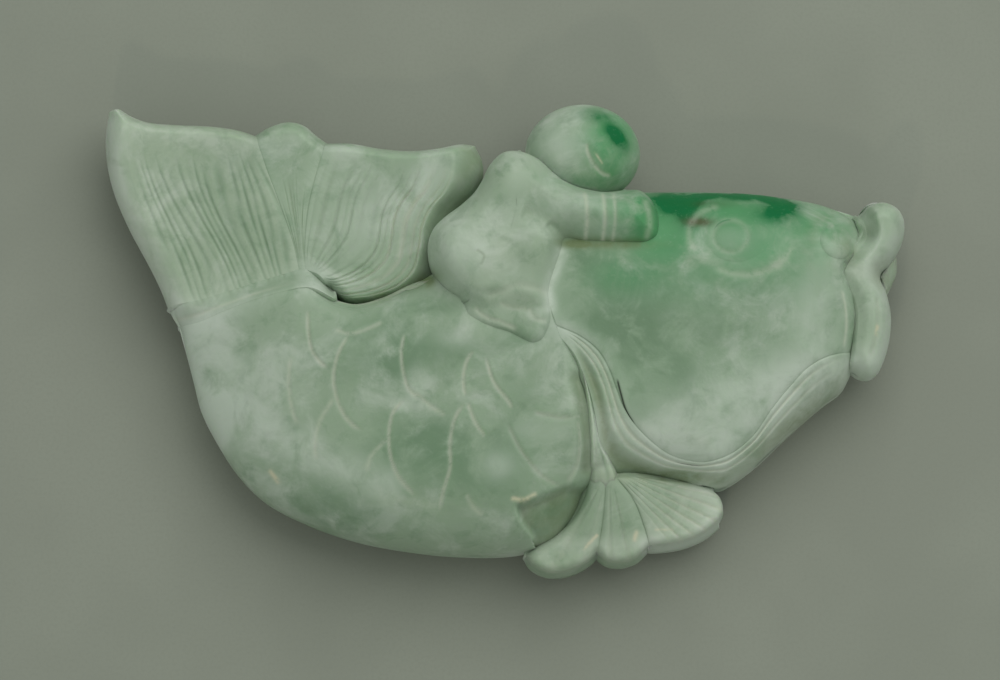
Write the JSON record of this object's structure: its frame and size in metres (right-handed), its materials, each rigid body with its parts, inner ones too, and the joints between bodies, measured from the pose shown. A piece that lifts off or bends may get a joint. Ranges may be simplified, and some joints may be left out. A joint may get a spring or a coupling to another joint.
{
  "type": "jade figurine",
  "caption": "Flat-backed jade carving of a boy lying along the back of a carp with an upturned fan tail, open lips and a spread side fin.",
  "frame": {"origin": "middle of the bounding box, on the resting plane of the flat ground back", "axes": "+X from the tail to the mouth, +Y from the belly to the back fin and the boy, +Z from the ground back to the worked face"},
  "size_m": [0.0802, 0.0477, 0.016],
  "materials": {
    "celadon_jade": "polished greyish green jade, slightly cloudy",
    "pale_jade": "polished pale green jade",
    "emerald_veined_jade": "polished pale jade with emerald green patches"
  },
  "bodies": {
    "root": {"back_ridge": "celadon_jade", "boy_arm": "pale_jade", "boy_foot": "pale_jade", "boy_hand": "pale_jade", "boy_head": "emerald_veined_jade", "boy_leg": "pale_jade", "boy_torso": "pale_jade", "fin_front_lobe": "celadon_jade", "fin_middle_lobe": "celadon_jade", "fin_rear_lobe": "celadon_jade", "fin_stem": "celadon_jade", "fish_body": "celadon_jade", "fish_eye": "emerald_veined_jade", "fish_head": "emerald_veined_jade", "gill_rim": "celadon_jade", "lower_lip": "pale_jade", "nostril_curl": "pale_jade", "tail_left_lobe": "celadon_jade", "tail_middle_lobe": "celadon_jade", "tail_right_lobe": "celadon_jade", "tail_root": "celadon_jade", "upper_lip": "pale_jade"}
  },
  "joints": []
}
